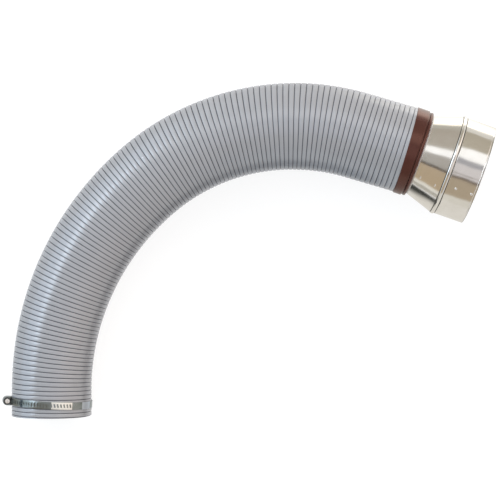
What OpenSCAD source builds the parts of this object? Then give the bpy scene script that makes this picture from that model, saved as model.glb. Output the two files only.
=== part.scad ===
// Flexible air duct: a strip-wound hose bent through an arch, held by a worm-drive clamp at one
// end and joined by a rubber cuff to a sheet-metal reducer at the other. Millimetres, +Z up, lying
// on its side. The origin is under the middle of the whole duct, on the surface it lies on.
// The hose is cut into links that hinge on each other, each a rigid run of whole turns.

/* [Hose wall] */
// Outside diameter of the hose at its clamped end
hose_d_start = 99.5; // [96:0.5:104]
// Outside diameter of the hose where it has grown to full size
hose_d_end = 108.5; // [104:0.5:112]
// Wall of the interlocked strip, from the bore to the lands
hose_wall = 2.25; // [1.5:0.05:3]
// Depth of the groove between two turns
groove_depth = 0.8; // [0.4:0.1:1.4]
// Width of the groove between two turns
groove_w = 0.9; // [0.5:0.1:1.5]
// Clearance between two neighbouring links
link_gap = 0.3; // [0.2:0.05:0.5]

/* [Route] */
// Straight length at the clamped end
start_len = 32; // [30:1:40]
// Centreline radius of the first, wider bend
bend_1_r = 345; // [320:5:380]
// Turn of the first bend, in degrees
bend_1_turn = 50; // [40:1:60]
// Centreline radius of the second, tighter bend
bend_2_r = 279; // [260:1:320]
// Turn of the second bend, in degrees
bend_2_turn = 56.5; // [45:0.5:65]
// Straight length before the cuff
end_len = 63; // [55:1:75]

/* [Worm-drive clamp] */
// Width of the clamp band
band_w = 9; // [8:0.5:10]
// Thickness of the band and of its tongue
band_t = 0.7; // [0.6:0.05:0.9]
// Distance of the clamp from the open end of the hose
clamp_from_end = 16.6; // [15:0.2:18]
// Angle by which the clamp sits askew on the hose
clamp_skew = 3; // [0:0.5:3]
// Place of the clamp's housing round the hose, in degrees up from the outer side of the bend
housing_up = 12; // [0:1:30]
// Reach of the tongue past the housing, in degrees round the hose
tongue_reach = 120; // [90:1:130]
// Angle from one slot of the tongue to the next
slot_step = 4.5; // [4.5:0.5:6]
// Lean of the slots, in degrees
slot_lean = 15; // [5:1:20]
// Radius of the crest of the worm's thread
worm_crest_r = 4.5; // [4.3:0.1:4.6]

/* [Rubber cuff] */
// Outside diameter of the cuff's flat band
cuff_d = 110; // [109:0.5:114]
// Length of the cuff along the reducer's axis, from the hose's end to the edge of its lip
cuff_len = 18.5; // [16:0.5:22]
// Turn between the end of the hose and the reducer
cuff_turn = 3; // [1:0.5:4]
// Length of the rounded lip at the reducer's side
lip_len = 4; // [3:0.5:5]

/* [Sheet-metal reducer] */
// Outside diameter of the spigot inside the cuff
spigot_d = 99.4; // [97:0.1:99.6]
// Outside diameter of the wide collar
collar_d = 125; // [120:1:130]
// Length from the cuff's lip to the end of the cone
cone_len = 36; // [30:1:45]
// Length of the collar with its bead
collar_len = 42; // [35:1:50]
// Thickness of the tinned sheet
sheet_t = 0.8; // [0.6:0.1:1]
// Height of the rolled bead over the collar
bead_h = 1.2; // [0.8:0.1:1.6]

/* [Rest on the surface] */
// Rise of the duct's plane towards the reducer, whose collar is wider than the hose
rise_x = 1.6; // [0:0.01:2]
// Rise of the duct's plane towards the top of the arch
rise_y = -0.19; // [-1:0.01:1]
// Height of the hose's centre at its open end
end_height = 50.86; // [45:0.01:60]

/* [Hidden] */
$fn = 96;
LINKS = 14;
SIDES = 16;
LINK_NAMES = [for (k = [1:LINKS]) str("hose_section_", k < 10 ? "0" : "", k)];

// Middle of the duct's box in its own plane, which the origin lies under
MIDDLE = [246.4, 207.8];

// Turns of strip in each stretch of the route: straight, wide bend, tight bend, straight
start_turns = 6;
bend_1_turns = 52;
bend_2_turns = 44;
end_turns = 10;
bend_1_from = start_turns;
bend_2_from = bend_1_from + bend_1_turns;
end_from = bend_2_from + bend_2_turns;
all_turns = end_from + end_turns;
turns_per_link = (end_from - start_turns) / (LINKS - 2);
start_pitch = start_len / start_turns;
end_pitch = end_len / end_turns;
step_1 = bend_1_turn / bend_1_turns;
step_2 = bend_2_turn / bend_2_turns;
hose_turn = bend_1_turn + bend_2_turn;
mean_pitch = 6;
groove_share = groove_w / mean_pitch;
gap_share = link_gap / mean_pitch;

// The hose grows from its first size to its full size between these two links
grow_from = 2;
grow_to = 12;
eps = 1;

hose_grey = [0.66, 0.68, 0.71];
steel_grey = [0.72, 0.73, 0.70];
cuff_brown = [0.31, 0.20, 0.19];
tin_white = [0.82, 0.80, 0.75];

// ---- Route of the hose's centreline, by turns of strip counted from the open end ----

// Angle that the hose has turned through at turn u
function turned(u) =
    u <= bend_1_from ? 0 :
    u <= bend_2_from ? (u - bend_1_from) * step_1 :
    u <= end_from ? bend_1_turn + (u - bend_2_from) * step_2 :
    hose_turn;

// Step over a bend of radius r from the angle a to the angle b
function bend_step(r, a, b) = r * [cos(a) - cos(b), sin(b) - sin(a)];

function bend_1_end() = [0, start_len] + bend_step(bend_1_r, 0, bend_1_turn);
function bend_2_end() = bend_1_end() + bend_step(bend_2_r, bend_1_turn, hose_turn);

// Centreline point at turn u, in the duct's own plane
function route(u) =
    u <= bend_1_from ? [0, u * start_pitch] :
    u <= bend_2_from ? [0, start_len] + bend_step(bend_1_r, 0, turned(u)) :
    u <= end_from ? bend_1_end() + bend_step(bend_2_r, bend_1_turn, turned(u)) :
    bend_2_end() + (u - end_from) * end_pitch * [sin(hose_turn), cos(hose_turn)];

// Turns at which one link starts and ends: the first and last are the two straight stretches
function link_from(k) = k == 1 ? 0 : start_turns + (k - 2) * turns_per_link;
function link_to(k) = k == LINKS ? all_turns : start_turns + (k - 1) * turns_per_link;

// Outside radius of one link
function link_r(k) =
    let (share = max(0, min(1, (k - grow_from) / (grow_to - grow_from))))
    (hose_d_start + (hose_d_end - hose_d_start) * share) / 2;

// ---- Placing ----

// The whole duct, laid on the surface: its plane leans so that hose and collar both touch
module laid_down() {
    translate([-MIDDLE[0], -MIDDLE[1], end_height])
        rotate([rise_y, -rise_x, 0])
            children();
}

// Children stand at turn u of the route, with +Y along the hose and +X to the inside of the bend
module at_turn(u) {
    translate([route(u)[0], route(u)[1], 0])
        rotate([0, 0, -turned(u)])
            children();
}

// Children's Z axis becomes the clamp's axis, out of the open end, and X points at the housing
module at_clamp() {
    translate([0, clamp_from_end, 0])
        rotate([0, 0, -clamp_skew])
            rotate([90, 0, 0])
                rotate([0, 0, 180 - housing_up])
                    children();
}

// Children's Z axis becomes the reducer's axis, outwards, with zero where it leaves the cuff
module at_reducer() {
    at_turn(all_turns)
        rotate([0, 0, -cuff_turn])
            translate([0, cuff_len, 0])
                rotate([-90, 0, 0])
                    children();
}

// ---- Hose ----

// Section of one link's wall as [turn, radius]: each turn of strip rises to its lapped edge, drops
// into the groove behind it, and the bore runs back inside
function wall_section(k) =
    let (from = link_from(k))
    let (to = link_to(k))
    let (first = from + (k == 1 ? 0 : gap_share / 2))
    let (last = to - (k == LINKS ? 0 : gap_share / 2))
    let (ro = link_r(k))
    let (groove_r = ro - groove_depth)
    let (ri = ro - hose_wall)
    concat(
        [[first, k == 1 ? ro : groove_r]],
        [for (i = [from + 1:to]) each [
            [i - groove_share, ro],
            [min(i, last), k == LINKS && i == to ? ro : groove_r]]],
        [[last, ri], [(first + last) / 2, ri], [first, ri]]);

// Point of the wall at turn u, radius r and angle a round the hose
function wall_point(u, r, a) =
    let (t = turned(u))
    let (across = r * cos(a))
    [route(u)[0] + across * cos(t), route(u)[1] - across * sin(t), r * sin(a)];

// Link that lies in a bend: its section swept round the hose and along the route
module bent_link(k) {
    section = wall_section(k);
    rings = len(section);
    polyhedron(
        points = [
            for (p = section)
                for (j = [0:SIDES - 1])
                    wall_point(p[0], p[1], j * 360 / SIDES)],
        faces = [
            for (i = [0:rings - 1])
                for (j = [0:SIDES - 1])
                    let (here = i * SIDES)
                    let (there = (i + 1) % rings * SIDES)
                    let (next = (j + 1) % SIDES)
                    each [
                        [here + j, there + j, there + next],
                        [here + j, there + next, here + next]]]);
}

// Link that lies in a straight stretch: the same section turned about the hose's axis
module straight_link(k, pitch) {
    from = link_from(k);
    at_turn(from)
        rotate([-90, 0, 0])
            rotate_extrude()
                polygon([for (p = wall_section(k)) [p[1], (p[0] - from) * pitch]]);
}

module hose_section(k) {
    color(hose_grey)
        laid_down()
            if (k == 1)
                straight_link(k, start_pitch);
            else if (k == LINKS)
                straight_link(k, end_pitch);
            else
                bent_link(k);
}

// ---- Worm-drive clamp, about its own axis with the housing at +X ----

// The band clears the lands by its skew across its own width
fit_gap = 0.05;
band_r = hose_d_start / 2 + band_w / 2 * sin(clamp_skew) + fit_gap;
tongue_r = band_r + band_t + fit_gap;
tongue_w = band_w - 0.3;
tongue_back = 20;
tongue_top = tongue_r + band_t;
tip_r = 5.5;
slot_r = tongue_r + band_t / 2;
slot_len = 4.4;
slot_w = 2;
slot_margin = 7;
slots = floor((tongue_reach - slot_margin) / slot_step);
slots_behind = 3;
worm_lead = slot_r * slot_step * PI / 180;
worm_bite = 0.4;
worm_axis_r = tongue_top - worm_bite + worm_crest_r;
thread_h = 1;
worm_root_r = worm_crest_r - thread_h;
worm_len = 10;
worm_slices = 40;
thread_step = 15;
lobe_top = 30;
lobe_foot = 60;
journal_r = 3;
journal_len = 1.7;
end_wall = 1.5;
end_play = 0.1;
end_wall_lift = 0.3;
housing_len = worm_len + 2 * (end_wall + end_play);
housing_ease = 0.25;
housing_t = 0.8;
housing_in_r = worm_crest_r + housing_ease;
housing_out_r = housing_in_r + housing_t;
foot_r = band_r + 2 * fit_gap;
foot_t = 0.5;
head_flange_r = 4.3;
head_flange_t = 1.2;
head_flats = 7;
head_len = 4;
driver_slot_w = 1.2;
driver_slot_depth = 1.8;

// Free end's section, swept round the clamp's axis between two angles
module tongue_arc(from, to) {
    rotate([0, 0, from])
        rotate_extrude(angle = to - from)
            translate([tongue_r, -tongue_w / 2])
                square([band_t, tongue_w]);
}

module clamp_band() {
    color(steel_grey)
        laid_down()
            at_clamp()
                difference() {
                    cylinder(r = band_r + band_t, h = band_w, center = true);
                    cylinder(r = band_r, h = band_w + eps, center = true);
                }
}

// What the press trims off the tongue's end to round it, facing +X with the tip towards -Y
module tip_trim() {
    rotate([0, 90, 0])
        difference() {
            translate([-tip_r, -2 * tip_r, tongue_r - eps])
                cube([2 * tip_r, 2 * tip_r, band_t + 2 * eps]);
            translate([0, 0, tongue_r - 2 * eps])
                cylinder(r = tip_r, h = band_t + 4 * eps);
        }
}

// Free end of the band: slotted, with a rounded tip
module clamp_tongue() {
    tip_angle = tip_r / slot_r * 180 / PI;
    color(steel_grey)
        laid_down()
            at_clamp()
                difference() {
                    tongue_arc(-tongue_reach - tip_angle / 2, tongue_back);
                    rotate([0, 0, tip_angle - tongue_reach])
                        tip_trim();
                    for (s = [-slots_behind:slots])
                        rotate([0, 0, -s * slot_step])
                            translate([slot_r, 0, 0])
                                rotate([slot_lean, 0, 0])
                                    cube([band_t * 3, slot_w, slot_len], center = true);
                }
}

// Arched cover over the worm, standing on two legs that reach down beside the band
module housing_shape(r, leg_r) {
    translate([worm_axis_r, 0, 0])
        rotate([90, 0, 0])
            cylinder(r = r, h = housing_len, center = true);
    translate([(worm_axis_r + leg_r) / 2, 0, 0])
        cube([worm_axis_r - leg_r, housing_len, 2 * r], center = true);
}

// The cover with its two end walls, bored for the worm's journals and open below for the tongue
module clamp_housing() {
    wall_y = worm_len / 2 + end_play + end_wall / 2;
    wall_foot = tongue_top + end_wall_lift;
    foot_w = housing_in_r - band_w / 2;
    passage_r = band_r + band_t;
    color(steel_grey)
        laid_down()
            at_clamp()
                difference() {
                    union() {
                        difference() {
                            housing_shape(housing_out_r, foot_r);
                            housing_shape(housing_in_r, foot_r - eps);
                        }
                        for (side = [-1, 1]) {
                            translate([worm_axis_r, side * wall_y, 0])
                                rotate([90, 0, 0])
                                    cylinder(r = housing_in_r, h = end_wall, center = true);
                            translate([(worm_axis_r + wall_foot) / 2, side * wall_y, 0])
                                cube([worm_axis_r - wall_foot, end_wall, 2 * housing_in_r],
                                     center = true);
                            translate([foot_r + foot_t / 2, 0, side * (band_w + foot_w) / 2])
                                cube([foot_t, housing_len, foot_w], center = true);
                        }
                    }
                    translate([worm_axis_r, 0, 0])
                        rotate([90, 0, 0])
                            cylinder(r = journal_r + fit_gap, h = 3 * worm_len, center = true);
                    translate([(passage_r + wall_foot) / 2, 0, 0])
                        cube([wall_foot - passage_r, 3 * worm_len, band_w], center = true);
                }
}

// Section of the worm's thread: a round root with one lobe that rises to the crest
module thread_face() {
    polygon([
        for (a = [0:thread_step:360 - thread_step])
            let (off = min(a, 360 - a))
            let (rise = max(0, min(1, (lobe_foot - off) / (lobe_foot - lobe_top))))
            (worm_root_r + (worm_crest_r - worm_root_r) * rise) * [cos(a), sin(a)]]);
}

// Worm screw, drawn along Z with its head on top
module screw_shape() {
    worm_twist = 360 * worm_len / worm_lead;
    rotate([0, 0, 180 + worm_twist / 2])
        translate([0, 0, -worm_len / 2])
            linear_extrude(worm_len, twist = worm_twist, slices = worm_slices, $fn = 24)
                thread_face();
    for (side = [-1, 1])
        translate([0, 0, side * (worm_len + journal_len) / 2])
            cylinder(r = journal_r, h = journal_len, center = true);
    difference() {
        translate([0, 0, worm_len / 2 + journal_len]) {
            cylinder(r = head_flange_r, h = head_flange_t);
            cylinder(d = head_flats / cos(30), h = head_len, $fn = 6);
        }
        translate([0, 0, worm_len / 2 + journal_len + head_len])
            cube([driver_slot_w, 3 * head_flange_r, 2 * driver_slot_depth], center = true);
    }
}

module clamp_screw() {
    color(steel_grey)
        laid_down()
            at_clamp()
                translate([worm_axis_r, 0, 0])
                    rotate([90, 0, 0])
                        screw_shape();
}

// ---- Rubber cuff, about the reducer's axis ----

spigot_r = spigot_d / 2;
cuff_slack = 0.3;
cuff_groove_depth = 1.6;
cuff_groove_r = cuff_d / 2 - cuff_groove_depth;
cuff_groove_w = 1.3;
cuff_spare = 5;
cuff_edge = 1;
lip_round = lip_len / 2;
lip_t = 2.5;
lip_r = spigot_r + lip_t;

// Flat band, groove and rounded lip, cut square to the hose where the hose ends in it
module rubber_cuff() {
    band_end = -lip_len - cuff_groove_w;
    color(cuff_brown)
        laid_down()
            difference() {
                at_reducer()
                    rotate_extrude()
                        union() {
                            polygon([
                                [spigot_r + cuff_slack, -cuff_len - cuff_spare],
                                [cuff_d / 2, -cuff_len - cuff_spare],
                                [cuff_d / 2, band_end - cuff_edge],
                                [cuff_d / 2 - cuff_edge / 2, band_end],
                                [cuff_groove_r, band_end],
                                [cuff_groove_r, -lip_len],
                                [lip_r, -lip_len],
                                [lip_r, 0],
                                [spigot_r, 0],
                                [spigot_r, -lip_len],
                                [spigot_r + cuff_slack, -lip_len]]);
                            translate([lip_r, -lip_round])
                                circle(lip_round, $fn = 32);
                        }
                at_turn(all_turns)
                    translate([-cuff_d, -cuff_d, -cuff_d])
                        cube([2 * cuff_d, cuff_d, 2 * cuff_d]);
            }
}

// ---- Sheet-metal reducer, about its own axis ----

collar_r = collar_d / 2;
collar_bore_r = collar_r - sheet_t;
spigot_reach = 24;
neck_fold = 0.5;
cone_step = 0.7;
tuck_len = 3;
seam_w = 0.5;
seam_depth = 0.3;
cone_seam = -60.5;
collar_seam = -66.5;
bead_r = 2.4;
bead_z = 2.6;

// Shallow line of a lap seam, at an angle round the axis and between two heights
module seam_cut(angle, r_low, r_high, from, to) {
    lean = atan((r_high - r_low) / (to - from));
    rotate([0, 0, angle])
        translate([r_low, 0, from])
            rotate([0, lean, 0])
                translate([-seam_depth, -seam_w / 2, 0])
                    cube([3 * seam_depth, seam_w, (to - from) / cos(lean)]);
}

// Spigot, cone and the short straight edge under the collar's bead, as one bent sheet
module adapter_cone() {
    color(tin_white)
        laid_down()
            at_reducer()
                difference() {
                    rotate_extrude()
                        polygon([
                            [spigot_r - sheet_t, -spigot_reach],
                            [spigot_r, -spigot_reach],
                            [spigot_r, 0],
                            [spigot_r + cone_step, 0],
                            [collar_r, cone_len],
                            [collar_r, cone_len + tuck_len],
                            [collar_bore_r, cone_len + tuck_len],
                            [collar_bore_r, cone_len],
                            [spigot_r - sheet_t, neck_fold]]);
                    seam_cut(cone_seam, spigot_r + cone_step, collar_r, eps, cone_len);
                }
}

// Wide collar, flush inside with the cone's edge, which its rolled bead is closed over
module adapter_collar() {
    color(tin_white)
        laid_down()
            at_reducer()
                difference() {
                    rotate_extrude()
                        union() {
                            translate([collar_bore_r, cone_len + tuck_len])
                                square([sheet_t, collar_len - tuck_len]);
                            intersection() {
                                translate([collar_r + bead_h - bead_r, cone_len + bead_z])
                                    circle(bead_r, $fn = 32);
                                translate([collar_r, cone_len])
                                    square([2 * bead_r, 2 * bead_z]);
                            }
                        }
                    seam_cut(
                        collar_seam, collar_r, collar_r, cone_len + 2 * bead_z,
                        cone_len + collar_len + eps);
                }
}

hose_section(1);  // hose_section_01
hose_section(2);  // hose_section_02
hose_section(3);  // hose_section_03
hose_section(4);  // hose_section_04
hose_section(5);  // hose_section_05
hose_section(6);  // hose_section_06
hose_section(7);  // hose_section_07
hose_section(8);  // hose_section_08
hose_section(9);  // hose_section_09
hose_section(10);  // hose_section_10
hose_section(11);  // hose_section_11
hose_section(12);  // hose_section_12
hose_section(13);  // hose_section_13
hose_section(14);  // hose_section_14
clamp_band();
clamp_tongue();
clamp_housing();
clamp_screw();
rubber_cuff();
adapter_cone();
adapter_collar();
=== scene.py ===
"""Flexible air duct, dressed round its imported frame.

A strip-wound hose arches from a worm-drive clamp to a rubber cuff and a sheet-metal reducer. The
frame holds the solids, the joints and the sizes, and this file models and finishes what shows.
"""

import logging
import math
from abc import ABC, abstractmethod
from dataclasses import dataclass
from enum import Enum
from typing import Callable, Sequence

import bpy
from mathutils import Matrix, Vector


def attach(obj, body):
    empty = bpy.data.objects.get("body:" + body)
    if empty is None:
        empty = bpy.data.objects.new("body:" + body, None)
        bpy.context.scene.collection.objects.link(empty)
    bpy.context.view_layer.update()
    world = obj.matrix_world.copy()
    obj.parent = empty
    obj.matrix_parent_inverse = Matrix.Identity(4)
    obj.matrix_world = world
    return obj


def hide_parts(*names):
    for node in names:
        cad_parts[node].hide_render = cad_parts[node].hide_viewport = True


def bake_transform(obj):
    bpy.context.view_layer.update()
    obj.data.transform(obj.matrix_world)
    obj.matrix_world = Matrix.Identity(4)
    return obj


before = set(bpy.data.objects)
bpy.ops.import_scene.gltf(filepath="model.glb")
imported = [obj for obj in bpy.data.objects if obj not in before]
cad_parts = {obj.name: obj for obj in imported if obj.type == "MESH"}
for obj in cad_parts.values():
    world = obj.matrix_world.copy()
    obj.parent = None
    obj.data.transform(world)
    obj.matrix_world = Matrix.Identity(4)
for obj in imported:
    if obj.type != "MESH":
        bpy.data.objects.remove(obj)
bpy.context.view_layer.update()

MM = 0.001
WELD = 0.001 * MM
# Attribute of the points that lie down in the hose's grooves, where the strip's colour is darkened
# as painted shade.
GROOVE = "groove"

Tree = bpy.types.NodeTree
Socket = bpy.types.NodeSocket
# Radius and height of a profile's point, and the same with the rounding of a corner.
Point = tuple[float, float]
Corner = tuple[float, float, float]

logging.basicConfig(level=logging.INFO, format="%(message)s")
log = logging.getLogger("duct")


class Slot(Enum):
    """Material slots of the record."""

    STRIP = "hose_strip"
    CLAMP = "clamp_steel"
    SCREW = "screw_steel"
    SHEET = "tinned_sheet"
    RUBBER = "cuff_rubber"


# ---- Materials ----

RGBA = {"data_type": "RGBA"}
SMOOTH = {"interpolation_type": "SMOOTHSTEP"}
DOT = {"operation": "DOT_PRODUCT"}


def linear(hex_colour: str) -> tuple[float, float, float, float]:
    """Turns an sRGB hex colour into linear RGBA.

    Args:
        hex_colour: Six hex digits after a hash.

    Returns:
        The linear colour with full alpha.
    """
    parts = [int(hex_colour[i:i + 2], 16) / 255 for i in (1, 3, 5)]
    low_end, slope, offset, power = 0.04045, 12.92, 0.055, 2.4
    curve = [p / slope if p <= low_end else ((p + offset) / (1 + offset)) ** power for p in parts]
    return (curve[0], curve[1], curve[2], 1.0)


def add_node(
    tree: Tree,
    kind: str,
    settings: dict[str, object] | None = None,
    inputs: dict[str | int, object] | None = None,
) -> bpy.types.Node:
    """Adds one shader node.

    Args:
        tree: Node tree that gets the node.
        kind: The node's type name.
        settings: Values of the node's own properties.
        inputs: Value or linked output for each input socket, by name or place.

    Returns:
        The new node.
    """
    made = tree.nodes.new(kind)
    for name, value in (settings or {}).items():
        setattr(made, name, value)
    for name, value in (inputs or {}).items():
        if isinstance(value, Socket):
            tree.links.new(value, made.inputs[name])
        else:
            made.inputs[name].default_value = value
    return made


def add_value(
    tree: Tree,
    kind: str,
    output: str | int,
    settings: dict[str, object] | None = None,
    inputs: dict[str | int, object] | None = None,
) -> Socket:
    """Adds one shader node, as add_node does, and returns one output of it by name or place."""
    return add_node(tree, kind, settings, inputs).outputs[output]


def set_stops(ramp: bpy.types.Node, stops: Sequence[tuple[float, str, float]]) -> None:
    """Sets the stops of a colour ramp.

    Args:
        ramp: The ramp's node.
        stops: Place, colour and strength of each stop, in rising order.
    """
    elements = ramp.color_ramp.elements
    while len(elements) > 1:
        elements.remove(elements[-1])
    for k, (place, colour, strength) in enumerate(stops):
        stop = elements.new(place) if k else elements[0]
        stop.position = place
        stop.color = [part * strength for part in linear(colour)[:3]] + [1.0]


def relief(
    tree: Tree,
    place: Socket,
    size: float,
    height: float,
    strength: float,
    detail: float = 2.0,
    normal: Socket | None = None,
) -> Socket:
    """Adds an uneven surface.

    Args:
        tree: Node tree that gets the nodes.
        place: Coordinates of the pattern.
        size: Size of its bumps.
        height: Their height.
        strength: Share of the bumps that shows.
        detail: Octaves of finer bumps on them.
        normal: Surface that they lie on, where it isn't the bare one.

    Returns:
        The surface's normal.
    """
    bumps = add_value(tree, "ShaderNodeTexNoise", "Fac", {}, {
        "Vector": place, "Scale": 1 / size, "Detail": detail})
    under = {} if normal is None else {"Normal": normal}
    return add_value(tree, "ShaderNodeBump", "Normal", {}, {
        "Height": bumps, "Distance": height, "Strength": strength, **under})


@dataclass(frozen=True)
class Finish(ABC):
    """A material that a subclass fills with nodes."""

    name: str

    @abstractmethod
    def shader(self, tree: Tree, place: Socket) -> Socket:
        """Adds the material's nodes.

        Args:
            tree: The material's node tree.
            place: Object coordinates.

        Returns:
            The shader.
        """

    def build(self) -> bpy.types.Material:
        """Returns the finished material."""
        material = bpy.data.materials.new(self.name)
        material.use_nodes = True
        tree = material.node_tree
        tree.nodes.clear()
        shader = self.shader(tree, add_value(tree, "ShaderNodeTexCoord", "Object"))
        add_node(tree, "ShaderNodeOutputMaterial", {}, {"Surface": shader})
        return material


@dataclass(frozen=True)
class Clouds:
    """Soft clouds over a surface, from one colour and roughness to another."""

    size: float
    colours: tuple[str, str]
    roughness: tuple[float, float]
    detail: float = 4.0
    contrast: float = 0.65

    def add(self, tree: Tree, place: Socket) -> tuple[Socket, Socket]:
        """Adds the clouds' nodes.

        Args:
            tree: Node tree that gets them.
            place: Object coordinates.

        Returns:
            The colour and the roughness.
        """
        noise = add_value(tree, "ShaderNodeTexNoise", "Fac", {}, {
            "Vector": place, "Scale": 1 / self.size, "Detail": self.detail,
            "Roughness": self.contrast})
        first, second = self.colours
        colour = add_value(tree, "ShaderNodeMix", 2, RGBA, {
            0: noise, 6: linear(first), 7: linear(second)})
        gloss = add_value(tree, "ShaderNodeMapRange", "Result", {}, {
            "Value": noise, "To Min": self.roughness[0], "To Max": self.roughness[1]})
        return colour, gloss


@dataclass(frozen=True)
class LacqueredStrip(Finish):
    """Aluminium strip, cold rolled and lacquered grey, then wound and folded into a hose.

    The lacquer hides the metal's own shine: a satin grey with a soft skin gloss, a little mottled
    where the rolls pressed it, and darker in the grooves, where shade is painted into the colour.
    """

    name: str = "lacquered_aluminium_strip"
    clouds: Clouds = Clouds(38 * MM, ("#a8a9ac", "#9ea0a4"), (0.2, 0.3), detail=3.0, contrast=0.6)
    # Colour of the painted shade in the grooves.
    groove_painted_shade: str = "#5e6168"
    metallic: float = 0.25
    peel_size: float = 1.6 * MM
    peel_height: float = 0.02 * MM
    peel_strength: float = 0.6

    def shader(self, tree: Tree, place: Socket) -> Socket:
        """Adds the nodes and returns their shader."""
        body, gloss = self.clouds.add(tree, place)
        # Painted shade: points in the grooves get the darker colour.
        depth = add_value(tree, "ShaderNodeAttribute", "Fac", {"attribute_name": GROOVE})
        groove_shaded = add_value(tree, "ShaderNodeMix", 2, RGBA, {
            0: depth, 6: body, 7: linear(self.groove_painted_shade)})
        peel = relief(tree, place, self.peel_size, self.peel_height, self.peel_strength)
        return add_value(tree, "ShaderNodeBsdfPrincipled", "BSDF", {}, {
            "Base Color": groove_shaded, "Roughness": gloss, "Metallic": self.metallic, "Normal": peel})


@dataclass(frozen=True)
class Zone:
    """Part of a metal piece with a colour and roughness of its own: here mostly a painted
    highlight, painted reflection or painted shade, and once the ground middle of a screw's head.

    It is what lies within a reach of a line, or, where it is a slab, of a plane square to the line.
    """

    centre: Vector
    axis: Vector
    reach: float
    colour: str
    roughness: float
    slab: bool = False
    fade: float = 0.4 * MM

    def mask(self, tree: Tree, place: Socket) -> Socket:
        """Adds the nodes that find the zone.

        Args:
            tree: The material's node tree.
            place: Object coordinates.

        Returns:
            One inside the zone and zero outside it.
        """
        off = add_value(tree, "ShaderNodeVectorMath", "Vector", {"operation": "SUBTRACT"}, {
            0: place, 1: self.centre})
        if self.slab:
            along = add_value(tree, "ShaderNodeVectorMath", "Value", DOT, {0: off, 1: self.axis})
            away = add_value(tree, "ShaderNodeMath", "Value", {"operation": "ABSOLUTE"}, {0: along})
        else:
            side = add_value(tree, "ShaderNodeVectorMath", "Vector", {
                "operation": "CROSS_PRODUCT"}, {0: off, 1: self.axis})
            away = add_value(tree, "ShaderNodeVectorMath", "Value", {
                "operation": "LENGTH"}, {0: side})
        return add_value(tree, "ShaderNodeMapRange", "Result", {}, {
            "Value": away, "From Min": self.reach - self.fade / 2,
            "From Max": self.reach + self.fade / 2, "To Min": 1.0, "To Max": 0.0})


@dataclass(frozen=True)
class RolledMetal(Finish):
    """Sheet or strip metal that still shows the fine lines of the rolls.

    The lines run one way and stretch the highlights a little across them. Handling leaves faint
    clouds in the gloss.
    """

    clouds: Clouds
    # Zones paint other colours over the metal, among them painted highlights, reflections and
    # shade.
    zones: tuple[Zone, ...] = ()
    line_stretch: tuple[float, float, float] = (0.06, 1.0, 1.0)
    line_width: float = 0.5 * MM
    line_height: float = 0.006 * MM
    line_strength: float = 0.5
    ripple_size: float = 26 * MM
    ripple_height: float = 0.0

    def shader(self, tree: Tree, place: Socket) -> Socket:
        """Adds the nodes and returns their shader."""
        colour, gloss = self.clouds.add(tree, place)
        for zone in self.zones:
            mask = zone.mask(tree, place)
            colour = add_value(tree, "ShaderNodeMix", 2, RGBA, {
                0: mask, 6: colour, 7: linear(zone.colour)})
            gloss = add_value(tree, "ShaderNodeMix", 0, {"data_type": "FLOAT"}, {
                0: mask, 2: gloss, 3: zone.roughness})
        along = add_value(tree, "ShaderNodeMapping", "Vector", {}, {
            "Vector": place, "Scale": self.line_stretch})
        lines = relief(tree, along, self.line_width, self.line_height, self.line_strength)
        swell = relief(tree, place, self.ripple_size, self.ripple_height, strength=1.0, detail=1.0,
                       normal=lines)
        return add_value(tree, "ShaderNodeBsdfPrincipled", "BSDF", {}, {
            "Base Color": colour, "Roughness": gloss, "Metallic": 1.0, "Normal": swell})


@dataclass(frozen=True)
class MouldedRubber(Finish):
    """Red-brown rubber, moulded in a polished tool.

    The skin is smooth with a broad soft gloss, and a dry bloom lightens it in patches.
    """

    name: str = "moulded_brown_rubber"
    clouds: Clouds = Clouds(12 * MM, ("#351b1b", "#432523"), (0.19, 0.32), contrast=0.5)
    gloss_tint: str = "#ffc0a4"
    gloss_level: float = 0.9
    ior: float = 1.52
    grain_size: float = 0.9 * MM
    grain_height: float = 0.02 * MM
    grain_strength: float = 0.5

    def shader(self, tree: Tree, place: Socket) -> Socket:
        """Adds the nodes and returns their shader."""
        body, gloss = self.clouds.add(tree, place)
        grain = relief(tree, place, self.grain_size, self.grain_height, self.grain_strength)
        return add_value(tree, "ShaderNodeBsdfPrincipled", "BSDF", {}, {
            "Base Color": body, "Roughness": gloss, "IOR": self.ior,
            "Specular IOR Level": self.gloss_level, "Specular Tint": linear(self.gloss_tint),
            "Normal": grain})


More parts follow.
